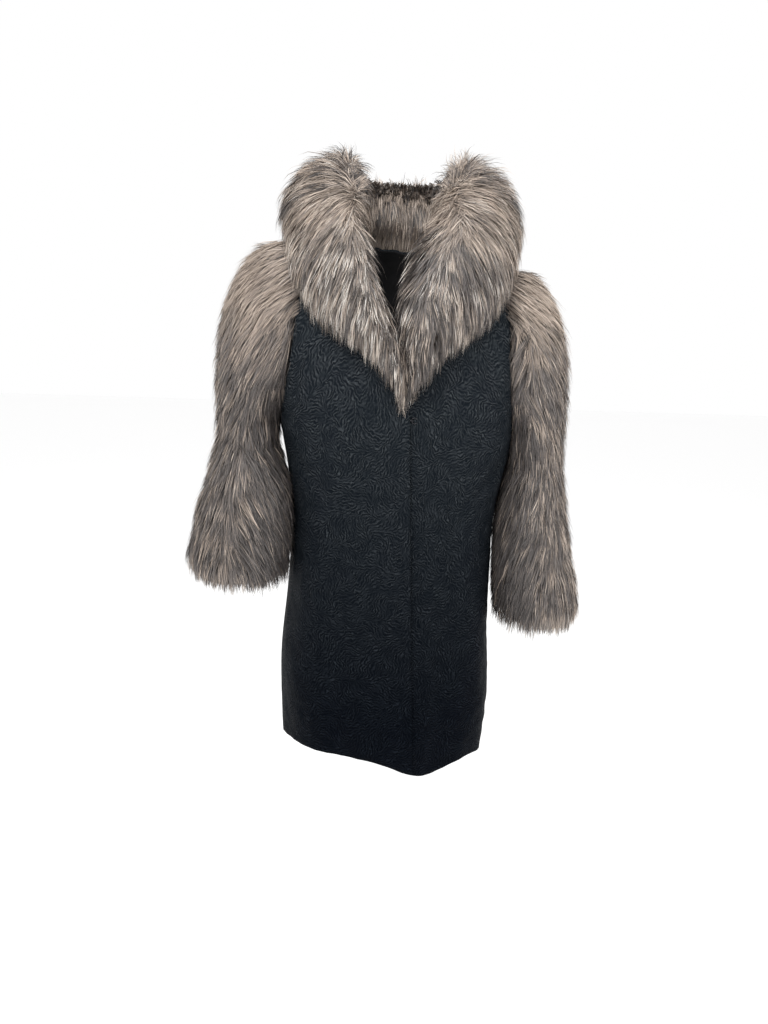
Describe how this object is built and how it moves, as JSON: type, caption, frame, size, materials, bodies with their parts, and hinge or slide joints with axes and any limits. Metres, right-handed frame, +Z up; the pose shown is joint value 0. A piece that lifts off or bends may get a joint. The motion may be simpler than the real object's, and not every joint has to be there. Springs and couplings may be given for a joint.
{
  "type": "fur coat",
  "caption": "Thigh-length women's fur coat in worn form: flat curly lamb body, long-haired shawl collar and full sleeves.",
  "frame": {"origin": "midway between the two points where shoulder seam and neckline meet, where the shoulders carry the coat", "axes": "+Z up, the front faces -Y, +X towards the wearer's left side"},
  "size_m": [0.6505, 0.3242, 0.9745],
  "materials": {
    "curly_lamb": "satin",
    "fox_fur": "matte",
    "closure_steel": "satin"
  },
  "bodies": {
    "root": {"back": "curly_lamb", "front_right": "curly_lamb", "front_left": "curly_lamb", "sleeve_right": "fox_fur", "sleeve_left": "fox_fur", "collar_right": "fox_fur", "collar_left": "fox_fur", "closure_eye": "closure_steel", "closure_hook": "closure_steel"}
  },
  "joints": []
}
